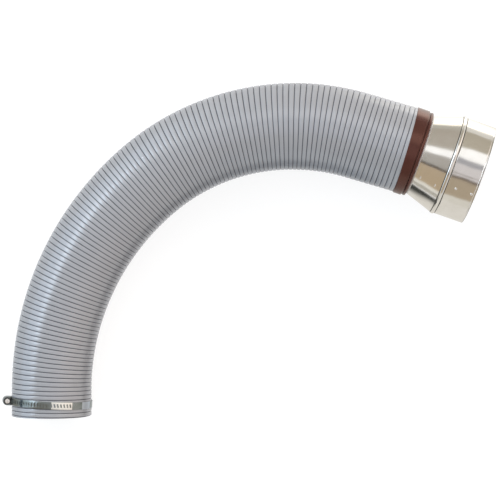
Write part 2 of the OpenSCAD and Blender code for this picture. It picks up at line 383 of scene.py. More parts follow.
@dataclass(frozen=True)
class StudioFloor(Finish):
    """Matt white paper: plain white to the camera, apart from a faint contact shadow.

    Bright metal sees it white under the duct, dark inside the arch, dull outside it, and lit
    beside the cuff.
    """

    along: Vector
    colour: str = "#f6f6f6"
    shadow_share: float = 0.25
    glow: float = 1.12
    arch_centre: tuple[float, float, float] = (75 * MM, -150 * MM, 0)
    arch_r: float = 310 * MM
    near: float = 80 * MM
    far: float = 150 * MM
    mirrored_glow: float = 0.9
    lit_spot: tuple[float, float, float] = (290 * MM, 365 * MM, 0)
    lit_spot_r: float = 235 * MM
    lit_glow: float = 3.3
    white: str = "#ffffff"
    inside: str = "#3f403d"
    outside: str = "#c6c2b8"
    past_collar: str = "#eeebe4"
    past_from: float = 100 * MM
    past_to: float = 170 * MM

    def mirrored(self, tree: Tree, place: Socket) -> Socket:
        """Adds the floor that bright metal sees.

        Args:
            tree: The material's node tree.
            place: Object coordinates.

        Returns:
            The floor's shader for glossy rays.
        """
        distance = {"operation": "DISTANCE"}
        away = add_value(tree, "ShaderNodeVectorMath", "Value", distance, {
            0: place, 1: self.arch_centre})
        share = add_value(tree, "ShaderNodeMapRange", "Result", {}, {
            "Value": away, "From Max": 2 * self.arch_r})
        tone = add_node(tree, "ShaderNodeValToRGB", {}, {"Fac": share})
        set_stops(tone, [
            (0.5 + 0.5 * off / self.arch_r, colour, 1.0) for off, colour in (
                (-self.far, self.inside), (-self.near, self.white), (self.near, self.white),
                (self.far, self.outside))])
        beyond = add_value(tree, "ShaderNodeVectorMath", "Value", DOT, {0: place, 1: self.along})
        past = add_value(tree, "ShaderNodeMapRange", "Result", SMOOTH, {
            "Value": beyond, "From Min": self.past_from, "From Max": self.past_to})
        paler = add_value(tree, "ShaderNodeMix", 2, RGBA, {
            0: past, 6: tone.outputs["Color"], 7: linear(self.past_collar)})
        from_spot = add_value(tree, "ShaderNodeVectorMath", "Value", distance, {
            0: place, 1: self.lit_spot})
        lit = add_value(tree, "ShaderNodeMapRange", "Result", SMOOTH, {
            "Value": from_spot, "From Max": self.lit_spot_r, "To Min": self.lit_glow,
            "To Max": self.mirrored_glow})
        return add_value(tree, "ShaderNodeEmission", 0, {}, {"Color": paler, "Strength": lit})

    def shader(self, tree: Tree, place: Socket) -> Socket:
        """Adds the nodes and returns their shader."""
        rays = add_node(tree, "ShaderNodeLightPath")
        paper = add_value(tree, "ShaderNodeBsdfDiffuse", 0, {}, {"Color": linear(self.colour)})
        white = add_value(tree, "ShaderNodeEmission", 0, {}, {"Strength": self.glow})
        seen = add_value(tree, "ShaderNodeMixShader", 0, {}, {
            0: self.shadow_share, 1: white, 2: paper})
        bounced = add_value(tree, "ShaderNodeMixShader", 0, {}, {
            0: rays.outputs["Is Glossy Ray"], 1: paper, 2: self.mirrored(tree, place)})
        return add_value(tree, "ShaderNodeMixShader", 0, {}, {
            0: rays.outputs["Is Camera Ray"], 1: bounced, 2: seen})


# ---- Modelling ----


def clear_selection() -> None:
    """Leaves edit mode and deselects every object."""
    if bpy.context.object is not None and bpy.context.object.mode != "OBJECT":
        bpy.ops.object.mode_set(mode="OBJECT")
    bpy.ops.object.select_all(action="DESELECT")


def pick(piece: bpy.types.Object) -> None:
    """Makes one piece the only selected and the active object.

    Args:
        piece: Piece to select.
    """
    clear_selection()
    piece.select_set(True)
    bpy.context.view_layer.objects.active = piece


def draw_chain(name: str, points: Sequence[Point]) -> bpy.types.Object:
    """Draws a chain of edges in the XZ plane, vertex by vertex.

    Args:
        name: Name of the new piece.
        points: Radius and height of each point.

    Returns:
        The new piece, still in edit mode with its last vertex selected.
    """
    clear_selection()
    bpy.ops.mesh.primitive_plane_add(size=MM)
    piece = bpy.context.object
    piece.name = name
    bpy.ops.object.mode_set(mode="EDIT")
    bpy.ops.mesh.select_mode(type="VERT")
    bpy.ops.mesh.select_all(action="SELECT")
    bpy.ops.mesh.merge(type="CENTER")
    bpy.ops.transform.translate(value=(points[0][0], 0, points[0][1]))
    for start, end in zip(points, points[1:]):
        step = (end[0] - start[0], 0, end[1] - start[1])
        bpy.ops.mesh.extrude_region_move(TRANSFORM_OT_translate={"value": step})
    return piece


def hold_long(
    points: Sequence[Point], least: float = 4 * MM, inset: float = 0.6 * MM
) -> list[Point]:
    """Adds a point near both ends of each long edge, so that smooth shading stays flat between.

    Args:
        points: Corners of a closed profile.
        least: Shortest edge that gets the points.
        inset: Distance of the points from the edge's ends.

    Returns:
        The profile with its extra points.
    """
    made: list[Point] = []
    for i, corner in enumerate(points):
        made.append(corner)
        run = Vector(points[(i + 1) % len(points)]) - Vector(corner)
        if run.length >= least:
            step = run.normalized() * inset
            made += [tuple(Vector(corner) + step), tuple(Vector(corner) + run - step)]
    return made


def spin_closed(name: str, points: Sequence[Point], steps: int) -> bpy.types.Object:
    """Spins a closed profile right round the Z axis.

    Args:
        name: Name of the new piece.
        points: Radius and height of each corner of the profile.
        steps: Number of steps in the full turn.

    Returns:
        The new piece, a closed shell about the Z axis.
    """
    held = hold_long(points)
    piece = draw_chain(name, [*held, held[0]])
    bpy.ops.mesh.select_all(action="SELECT")
    bpy.ops.mesh.spin(steps=steps, angle=math.tau, center=(0, 0, 0), axis=(0, 0, 1))
    bpy.ops.mesh.select_all(action="SELECT")
    bpy.ops.mesh.remove_doubles(threshold=WELD)
    bpy.ops.mesh.normals_make_consistent(inside=False)
    bpy.ops.object.mode_set(mode="OBJECT")
    return piece


def rounded(
    corners: Sequence[Corner], steps: int, straight: float = math.radians(89)
) -> list[Point]:
    """Rounds the corners of a closed profile with arcs.

    Args:
        corners: Radius, height and rounding of each corner, which stays sharp at zero.
        steps: Edges in each arc.
        straight: Half of a corner's angle from which it is left as it is.

    Returns:
        The profile with its arcs.
    """
    made: list[Point] = []
    for i, (x, z, radius) in enumerate(corners):
        here = Vector((x, z))
        back = Vector(corners[i - 1][:2]) - here
        ahead = Vector(corners[(i + 1) % len(corners)][:2]) - here
        half = back.angle(ahead) / 2
        if radius <= 0 or half > straight:
            made.append((x, z))
            continue
        reach = radius / math.tan(half)
        middle = (back.normalized() + ahead.normalized()).normalized()
        centre = here + middle * radius / math.sin(half)
        first = here + back.normalized() * reach - centre
        last = here + ahead.normalized() * reach - centre
        turn = first.angle_signed(last)
        for k in range(steps + 1):
            arm = first.copy()
            arm.rotate(Matrix.Rotation(-turn * k / steps, 2))
            made.append(tuple(centre + arm))
    return made


def bevel(piece: bpy.types.Object, width: float, segments: int = 2, angle: float = 30) -> None:
    """Rounds the sharp edges of a piece with an applied bevel.

    Args:
        piece: Piece to round.
        width: Width of the bevel.
        segments: Edges in each rounding.
        angle: Least angle of an edge that is rounded, in degrees.
    """
    pick(piece)
    made = piece.modifiers.new("edges", "BEVEL")
    made.width = width
    made.segments = segments
    made.limit_method = "ANGLE"
    made.angle_limit = math.radians(angle)
    bpy.ops.object.modifier_apply(modifier=made.name)


def shade(piece: bpy.types.Object, angle: float = 40) -> None:
    """Shades a piece smooth, apart from edges sharper than an angle in degrees."""
    pick(piece)
    bpy.ops.object.shade_smooth_by_angle(angle=math.radians(angle))


def put(piece: bpy.types.Object, place: Matrix) -> None:
    """Moves a piece's mesh to its place, and leaves its object at the origin.

    Args:
        piece: Piece to move.
        place: Frame that it is moved to.
    """
    pick(piece)
    piece.matrix_world = place
    bpy.ops.object.transform_apply(location=True, rotation=True, scale=True)


def copy_node(name: str, node: str, flat: float = math.radians(1)) -> bpy.types.Object:
    """Copies a CAD node's mesh into a new piece, merged into whole faces.

    Args:
        name: Name of the new piece.
        node: Name of the CAD node.
        flat: Angle up to which faces are merged.

    Returns:
        The new piece.
    """
    piece = bpy.data.objects.new(name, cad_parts[node].data.copy())
    bpy.context.scene.collection.objects.link(piece)
    pick(piece)
    bpy.ops.mesh.customdata_custom_splitnormals_clear()
    bpy.ops.object.mode_set(mode="EDIT")
    bpy.ops.mesh.select_all(action="SELECT")
    bpy.ops.mesh.remove_doubles(threshold=WELD)
    bpy.ops.mesh.dissolve_limited(angle_limit=flat)
    bpy.ops.object.mode_set(mode="OBJECT")
    return piece


def join(pieces: Sequence[bpy.types.Object]) -> bpy.types.Object:
    """Joins pieces into one.

    Args:
        pieces: Pieces to join.

    Returns:
        The first of them, which holds them all.
    """
    pick(pieces[0])
    for other in pieces[1:]:
        other.select_set(True)
    bpy.ops.object.join()
    return pieces[0]


def dress(piece: bpy.types.Object, material: bpy.types.Material) -> None:
    """Gives a piece its one material.

    Args:
        piece: Piece to dress.
        material: Its finish.
    """
    piece.data.materials.clear()
    piece.data.materials.append(material)


def report(piece: bpy.types.Object, body: str) -> None:
    """Logs a finished piece with its body and its number of faces."""
    log.info("piece %s on %s: %d faces", piece.name, body, len(piece.data.polygons))


def ease(share: float) -> float:
    """Smooth step from 0 to 1 over a share that is clamped to that range."""
    held = max(0.0, min(1.0, share))
    return held * held * (3 - 2 * held)


# ---- Route ----


@dataclass(frozen=True)
class Route:
    """The hose's centreline: straight, a wide bend, a tighter bend, and straight again.

    Places along it are counted in turns of the strip from the open end, as the links are.
    """

    start_len: float = 32 * MM
    bend_1_r: float = 345 * MM
    bend_1_turn: float = math.radians(50)
    bend_2_r: float = 279 * MM
    bend_2_turn: float = math.radians(56.5)
    end_len: float = 63 * MM
    start_turns: int = 6
    bend_1_turns: int = 52
    bend_2_turns: int = 44
    end_turns: int = 10
    middle: tuple[float, float] = (246.4 * MM, 207.8 * MM)
    end_height: float = 50.86 * MM
    rise_x: float = math.radians(1.6)
    rise_y: float = math.radians(-0.19)

    @property
    def bend_2_from(self) -> int:
        """Turn of strip at which the tighter bend starts."""
        return self.start_turns + self.bend_1_turns

    @property
    def end_from(self) -> int:
        """Turn of strip at which the last straight starts."""
        return self.bend_2_from + self.bend_2_turns

    @property
    def all_turns(self) -> int:
        """Number of turns of strip in the whole hose."""
        return self.end_from + self.end_turns

    def turned(self, u: float) -> float:
        """Finds how far the hose has bent.

        Args:
            u: Turn of strip.

        Returns:
            The angle from the open end to there.
        """
        first = max(0.0, min(1.0, (u - self.start_turns) / self.bend_1_turns))
        second = max(0.0, min(1.0, (u - self.bend_2_from) / self.bend_2_turns))
        return first * self.bend_1_turn + second * self.bend_2_turn

    def centre(self, u: float) -> Vector:
        """Finds a point of the centreline.

        Args:
            u: Turn of strip.

        Returns:
            The point, in the duct's own plane.
        """
        turned = self.turned(u)
        first = min(turned, self.bend_1_turn)
        point = Vector((0, min(u, self.start_turns) * self.start_len / self.start_turns, 0))
        point += self.bend_1_r * Vector((1 - math.cos(first), math.sin(first), 0))
        if turned > first:
            point += self.bend_2_r * Vector(
                (math.cos(first) - math.cos(turned), math.sin(turned) - math.sin(first), 0))
        past = max(0.0, u - self.end_from) * self.end_len / self.end_turns
        return point + past * Vector((math.sin(turned), math.cos(turned), 0))

    @property
    def laid_down(self) -> Matrix:
        """Takes the duct's own plane to its rest on the floor."""
        lifted = Matrix.Translation((-self.middle[0], -self.middle[1], self.end_height))
        return lifted @ Matrix.Rotation(-self.rise_x, 4, "Y") @ Matrix.Rotation(self.rise_y, 4, "X")

    def at(self, u: float) -> Matrix:
        """Frame at turn u: +Y runs along the hose and +X to the inside of the bend."""
        return (self.laid_down @ Matrix.Translation(self.centre(u))
                @ Matrix.Rotation(-self.turned(u), 4, "Z"))


# ---- Strip-wound hose ----


@dataclass
class StripWoundHose:
    """One strip wound into a hose, in lengths that span the joints between its links."""

    route: Route
    d_start: float = 99.5 * MM
    d_end: float = 108.5 * MM
    wall: float = 2.25 * MM
    groove_depth: float = 0.8 * MM
    groove_w: float = 0.9 * MM
    edge_round: float = 0.45 * MM
    floor_round: float = 0.12 * MM
    crown: float = 0.1 * MM
    inner_groove: float = 0.4 * MM
    # Shares of the pitch where the bore's groove starts, is deep, is deep no more, and ends.
    inner_at: tuple[float, float, float, float] = (0.42, 0.46, 0.54, 0.58)
    # Depths under the lands between which the grooves get painted shade.
    groove_shade_from: float = 0.48 * MM
    groove_shade_to: float = 1.65 * MM
    mean_pitch: float = 6 * MM
    links: int = 14
    turns_per_link: int = 8
    grow_from: float = 10
    grow_to: float = 90
    segments: int = 96
    blend_reach: float = 14.5 * MM
    first_reach: float = 10.5 * MM
    spare_turns: int = 2
    smooth_angle: float = 60
    finish: LacqueredStrip = LacqueredStrip()

    def land_r(self, u: float) -> float:
        """Outside radius at turn u."""
        share = max(0.0, min(1.0, (u - self.grow_from) / (self.grow_to - self.grow_from)))
        return (self.d_start + (self.d_end - self.d_start) * share) / 2

    def outer_profile(self, steps: int = 3) -> list[Point]:
        """Outer face of one turn of strip.

        Args:
            steps: Edges in the rounding of each land.

        Returns:
            Share of the pitch and depth under the lands of each point, from the middle of one
            groove to just short of the next.
        """
        half = self.groove_w / 2
        arc = [
            (half + self.edge_round * (1 - math.cos(a)), self.edge_round * (1 - math.sin(a)))
            for a in (math.pi / 2 * k / steps for k in range(steps + 1))]
        rise = [(half - self.floor_round, self.groove_depth), *arc]
        fall = [(self.mean_pitch - x, depth) for x, depth in reversed(rise)]
        whole = [(0.0, self.groove_depth), *rise, (self.mean_pitch / 2, -self.crown), *fall]
        return [(x / self.mean_pitch, depth + self.crown) for x, depth in whole]

    def inner_profile(self) -> list[Point]:
        """Bore face of one turn of strip, as share of the pitch and depth under the lands."""
        sunk = self.wall - self.inner_groove
        return [(0.0, self.wall), *zip(self.inner_at, (self.wall, sunk, sunk, self.wall))]

    def skin_point(self, u: float, around: float, depth: float) -> Vector:
        """Finds a point of the hose.

        Args:
            u: Turn of strip.
            around: Angle round the hose.
            depth: Depth under the lands.

        Returns:
            The point.
        """
        radius = self.land_r(u) - depth
        across = Vector((math.cos(around) * radius, 0, math.sin(around) * radius))
        return self.route.at(u) @ across

    def wind(self, name: str, first: int, last: int) -> bpy.types.Object:
        """Winds the strip over some turns into a closed length of hose.

        The faces of each turn share their edge with the next, so the length has one outer skin,
        one bore, and walls only where the strip is cut.

        Args:
            name: Name of the new piece.
            first: Turn at which the strip starts.
            last: Turn at which it ends.

        Returns:
            The new piece.
        """
        per_turn = self.segments
        steps = (last - first) * per_turn
        points: list[Vector] = []
        depths: list[float] = []
        faces: list[tuple[int, ...]] = []

        def skin(profile: Sequence[Point], outside: bool) -> Callable[[int, int], int]:
            """Adds one skin.

            Args:
                profile: One turn of it.
                outside: Whether it is the outer skin.

            Returns:
                Function that finds its vertices by step of the winding and point of the profile.
            """
            found: dict[tuple[int, int], int] = {}
            for j, (share, depth) in enumerate(profile):
                for t in range(steps + 1 + (per_turn if j == 0 else 0)):
                    found[t, j] = len(points)
                    around = math.tau * (t % per_turn) / per_turn
                    points.append(self.skin_point(first + t / per_turn + share, around, depth))
                    depths.append(depth)

            def at(t: int, j: int) -> int:
                """Index of a vertex, where the last of a turn is the first of the next."""
                return found[t + per_turn, 0] if j == len(profile) else found[t, j]

            for t in range(steps):
                for j in range(len(profile)):
                    quad = (at(t, j), at(t, j + 1), at(t + 1, j + 1), at(t + 1, j))
                    faces.append(quad if outside else quad[::-1])
            return at

        outer, inner = self.outer_profile(), self.inner_profile()
        out_at, in_at = skin(outer, True), skin(inner, False)
        for t in range(per_turn):
            faces.append((out_at(t, 0), out_at(t + 1, 0), in_at(t + 1, 0), in_at(t, 0)))
            back = steps - per_turn + t
            faces.append((
                out_at(back, len(outer)), in_at(back, len(inner)),
                in_at(back + 1, len(inner)), out_at(back + 1, len(outer))))
        for t in (0, steps):
            rim = [out_at(t, j) for j in range(len(outer) + 1)]
            bore = [in_at(t, j) for j in range(len(inner) + 1)]
            ring = tuple(rim + bore[::-1])
            faces.append(ring[::-1] if t == 0 else ring)
        mesh = bpy.data.meshes.new(name)
        mesh.from_pydata(points, [], faces)
        # Points between these depths get the painted shade of the grooves.
        groove = mesh.attributes.new(GROOVE, "FLOAT", "POINT")
        groove.data.foreach_set("value", [
            1.0 if self.groove_shade_from < depth < self.groove_shade_to else 0.0 for depth in depths])
        piece = bpy.data.objects.new(name, mesh)
        bpy.context.scene.collection.objects.link(piece)
        return piece

    def cut_square(self, piece: bpy.types.Object, u: float, keep_after: bool) -> None:
        """Cuts a length square at turn u and closes the cut between skin and bore.

        Args:
            piece: Length of hose to cut.
            u: Turn at which it is cut.
            keep_after: Whether the stretch after the cut stays, and not the one before it.
        """
        place = self.route.at(u)
        pick(piece)
        bpy.ops.object.mode_set(mode="EDIT")
        bpy.ops.mesh.select_mode(type="EDGE")
        bpy.ops.mesh.select_all(action="SELECT")
        bpy.ops.mesh.bisect(
            plane_co=place.translation, plane_no=place.to_3x3() @ Vector((0, 1, 0)),
            clear_inner=keep_after, clear_outer=not keep_after, use_fill=False, threshold=WELD)
        bpy.ops.mesh.bridge_edge_loops()
        bpy.ops.object.mode_set(mode="OBJECT")

    def body(self, link: int) -> str:
        """Name of the body that carries a link."""
        return {1: "clamped_end", self.links: "reducer_end"}.get(link, f"hose_link_{link:02d}")

    def build(self) -> None:
        """Winds every length of the hose, and gives each end length to its body."""
        material = self.finish.build()
        half = self.turns_per_link // 2
        joints = [
            self.route.start_turns + k * self.turns_per_link for k in range(self.links - 1)]
        cuts = [
            -self.spare_turns, joints[0] - half + 1, *[u + half for u in joints[:-1]],
            joints[-1] + half + 1, self.route.all_turns + self.spare_turns]
        lengths = [
            self.wind(f"hose_strip_{k + 1:02d}", first, last)
            for k, (first, last) in enumerate(zip(cuts, cuts[1:]))]
        self.cut_square(lengths[0], 0, keep_after=True)
        self.cut_square(lengths[-1], self.route.all_turns, keep_after=False)

        for k, piece in enumerate(lengths):
            shade(piece, self.smooth_angle)
            dress(piece, material)
            if k in (0, self.links):
                link = max(1, k)
                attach(piece, self.body(link))
                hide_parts(f"hose_section_{link:02d}")
                report(piece, self.body(link))
            else:
                place = self.route.at(joints[k - 1])
                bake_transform(piece)
                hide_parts(f"hose_section_{min(k + 1, self.links - 1):02d}")
                report(piece, f"{self.body(k)} to {self.body(k + 1)}")


# ---- Worm-drive clamp ----


# Angle of a zone round the clamp from its housing, its reach, colour and roughness.
BandZone = tuple[float, float, str, float]


@dataclass
class WormClamp:
    """Band clamp: a rolled band, its slotted tongue, a pressed housing and the worm screw."""

    route: Route
    from_end: float = 16.6 * MM
    skew: float = math.radians(3)
    housing_up: float = math.radians(12)
    hose_r: float = 49.75 * MM
    band_w: float = 9 * MM
    band_t: float = 0.7 * MM
    rim_w: float = 1.1 * MM
    rim_foot: float = 1.43 * MM
    rim_h: float = 0.12 * MM
    band_back_round: float = 0.15 * MM
    band_edge_round: float = 0.25 * MM
    rim_round: float = 0.1 * MM
    fit_gap: float = 0.05 * MM
    steps: int = 160
    tongue_top: float = 1.5 * MM
    worm_bite: float = 0.4 * MM
    worm_crest_r: float = 4.5 * MM
    tongue_edge: float = 0.09 * MM
    housing_edge: float = 0.18 * MM
    screw_edge: float = 0.1 * MM
    screw_corner: float = 50
    dulled: Clouds = Clouds(7 * MM, ("#a8b0b5", "#72776a"), (0.2, 0.4))
    blackened: Clouds = Clouds(16 * MM, ("#4c4c48", "#2e2e2c"), (0.25, 0.35))
    # Painted light on the steel: a painted highlight block and a thin painted glint on the tongue,
    # a painted dark reflection next to the screw, and a painted floor reflection on the band.
    tongue_painted_glare: BandZone = (math.radians(100.5), 13.2 * MM, "#f6f6f1", 0.42)
    tongue_painted_glint: BandZone = (math.radians(63), 0.5 * MM, "#e4eae6", 0.35)
    tongue_painted_dark_reflection: BandZone = (math.radians(40), 2.6 * MM, "#4a5257", 0.35)
    band_painted_floor_reflection: BandZone = (math.radians(144), 9 * MM, "#dfe6ee", 0.45)
    # Reach, colour and roughness of the ground middle of the screw's head.
    ground: tuple[float, str, float] = (2.9 * MM, "#f4f2ee", 0.3)

    @property
    def place(self) -> Matrix:
        """Frame of the clamp: Z is its axis out of the open end and X points at the housing."""
        return (self.route.laid_down @ Matrix.Translation((0, self.from_end, 0))
                @ Matrix.Rotation(-self.skew, 4, "Z") @ Matrix.Rotation(math.pi / 2, 4, "X")
                @ Matrix.Rotation(math.pi - self.housing_up, 4, "Z"))

    @property
    def band_r(self) -> float:
        """Inside radius of the band, which clears the hose in spite of its skew."""
        return self.hose_r + self.band_w / 2 * math.sin(self.skew) + self.fit_gap

    @property
    def worm_axis_r(self) -> float:
        """Distance of the screw's axis from the clamp's."""
        return self.band_r + self.tongue_top - self.worm_bite + self.worm_crest_r

    def zone(self, angle: float, reach: float, colour: str, roughness: float) -> Zone:
        """Places a zone on the band.

        Args:
            angle: Angle round the clamp from its housing.
            reach: Reach of the zone from there.
            colour: Its colour.
            roughness: Its roughness.

        Returns:
            The zone.
        """
        middle = Matrix.Rotation(-angle, 3, "Z") @ Vector((self.band_r, 0, 0))
        axis = self.place.to_3x3() @ Vector((0, 0, 1))
        return Zone(self.place @ middle, axis, reach, colour, roughness)

    def finishes(self) -> tuple[bpy.types.Material, ...]:
        """Builds the finishes of the band, tongue, housing and screw.

        The steel is zinc plated and dulled by handling. The band carries a painted reflection of
        the floor beside the tongue. The tongue carries a painted highlight block, a thin painted
        glint and a painted dark reflection next to the screw. The screw's head is ground, and its
        flange and thread stay black.

        Returns:
            The four finishes.
        """
        head = Zone(self.place @ Vector((self.worm_axis_r, 0, 0)),
                    self.place.to_3x3() @ Vector((0, 1, 0)), *self.ground)
        tongue_zones = tuple(
            self.zone(*look) for look in (self.tongue_painted_glare, self.tongue_painted_glint, self.tongue_painted_dark_reflection))
        steels = (
            RolledMetal("zinc_plated_band_steel", self.dulled, (self.zone(*self.band_painted_floor_reflection),)),
            RolledMetal("zinc_plated_tongue_steel", self.dulled, tongue_zones),
            RolledMetal("pressed_housing_steel", self.dulled),
            RolledMetal("blackened_screw_steel", self.blackened, (head,)))
        return tuple(steel.build() for steel in steels)

    def band(self) -> bpy.types.Object:
        """Spins the band, with edges turned up a little by the slitting rolls.

        Returns:
            The band, about the Z axis.
        """
        half = self.band_w / 2
        inner, outer = self.band_r, self.band_r + self.band_t
        flat = outer - self.rim_h
        rim, foot = half - self.rim_w, half - self.rim_foot
        back, edge, press = self.band_back_round, self.band_edge_round, self.rim_round
        corners = [
            (inner, -half, back), (outer, -half, edge), (outer, -rim, press), (flat, -foot, press),
            (flat, foot, press), (outer, rim, press), (outer, half, edge), (inner, half, back)]
        return spin_closed("clamp_band_skin", rounded(corners, steps=3), self.steps)

    def build(self) -> None:
        """Builds the clamp's four pieces on their three bodies."""
        band_steel, tongue_steel, housing_steel, screw_steel = self.finishes()
        band = self.band()
        put(band, self.place)
        tongue = copy_node("clamp_tongue_skin", "clamp_tongue")
        bevel(tongue, self.tongue_edge)
        housing = copy_node("clamp_housing_skin", "clamp_housing")
        bevel(housing, self.housing_edge, segments=3)
        screw = copy_node("clamp_screw_skin", "clamp_screw")
        bevel(screw, self.screw_edge, angle=self.screw_corner)
        jobs = (
            (band, band_steel, Slot.CLAMP, "clamped_end", "clamp_band"),
            (tongue, tongue_steel, Slot.CLAMP, "band_tongue", "clamp_tongue"),
            (housing, housing_steel, Slot.CLAMP, "clamped_end", "clamp_housing"),
            (screw, screw_steel, Slot.SCREW, "worm", "clamp_screw"))
        for piece, finish, slot, body, node in jobs:
            shade(piece)
            dress(piece, finish)
            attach(piece, body)
            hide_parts(node)
            report(piece, body)


# ---- Reducer end ----


@dataclass
class ReducerPlace:
    """Where the cuff and the reducer sit: past the hose's end, turned a little further."""

    route: Route
    cuff_len: float = 18.5 * MM
    cuff_turn: float = math.radians(3)

    @property
    def place(self) -> Matrix:
        """Frame of the reducer: Z is its axis outwards, zero where it leaves the cuff, -Y is up."""
        return (self.route.at(self.route.all_turns) @ Matrix.Rotation(-self.cuff_turn, 4, "Z")
                @ Matrix.Translation((0, self.cuff_len, 0)) @ Matrix.Rotation(-math.pi / 2, 4, "X"))

    @property
    def axis(self) -> Vector:
        """Direction of the reducer's axis outwards."""
        return self.place.to_3x3() @ Vector((0, 0, 1))


@dataclass
class RubberCuff:
    """Moulded cuff: a flat band that meets the hose, a groove, and a rounded lip."""

    seat: ReducerPlace
    d: float = 110 * MM
    inner_r: float = 50.0 * MM
    lip_len: float = 4 * MM
    lip_r: float = 54.2 * MM
    groove_w: float = 1.3 * MM
    groove_depth: float = 1.6 * MM
    hose_side_round: float = 0.8 * MM
    band_round: float = 0.9 * MM
    groove_round: float = 0.3 * MM
    lip_root_round: float = 1.8 * MM
    lip_round: float = 1.9 * MM
    steps: int = 192
    smooth_angle: float = 50
    finish: MouldedRubber = MouldedRubber()

    def build(self) -> None:
        """Spins the cuff, leans its hose side to the hose's end, and dresses it."""
        out, low, bore = self.d / 2, -self.seat.cuff_len, self.inner_r
        floor = out - self.groove_depth
        lip, band_end = -self.lip_len, -self.lip_len - self.groove_w
        corners = [
            (bore, low, 0), (out, low, self.hose_side_round), (out, band_end, self.band_round),
            (floor, band_end, self.groove_round), (floor, lip, self.groove_round),
            (self.lip_r, lip, self.lip_root_round), (self.lip_r, 0, self.lip_round), (bore, 0, 0)]
        piece = spin_closed("rubber_cuff_skin", rounded(corners, steps=6), self.steps)
        flat = band_end - low
        for vertex in piece.data.vertices:
            share = 1 - ease((vertex.co.z - low) / flat)
            vertex.co.z += vertex.co.x * math.tan(self.seat.cuff_turn) * share
        put(piece, self.seat.place)
        shade(piece, self.smooth_angle)
        dress(piece, self.finish.build())
        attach(piece, "reducer_end")
        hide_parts("rubber_cuff")
        report(piece, "reducer_end")


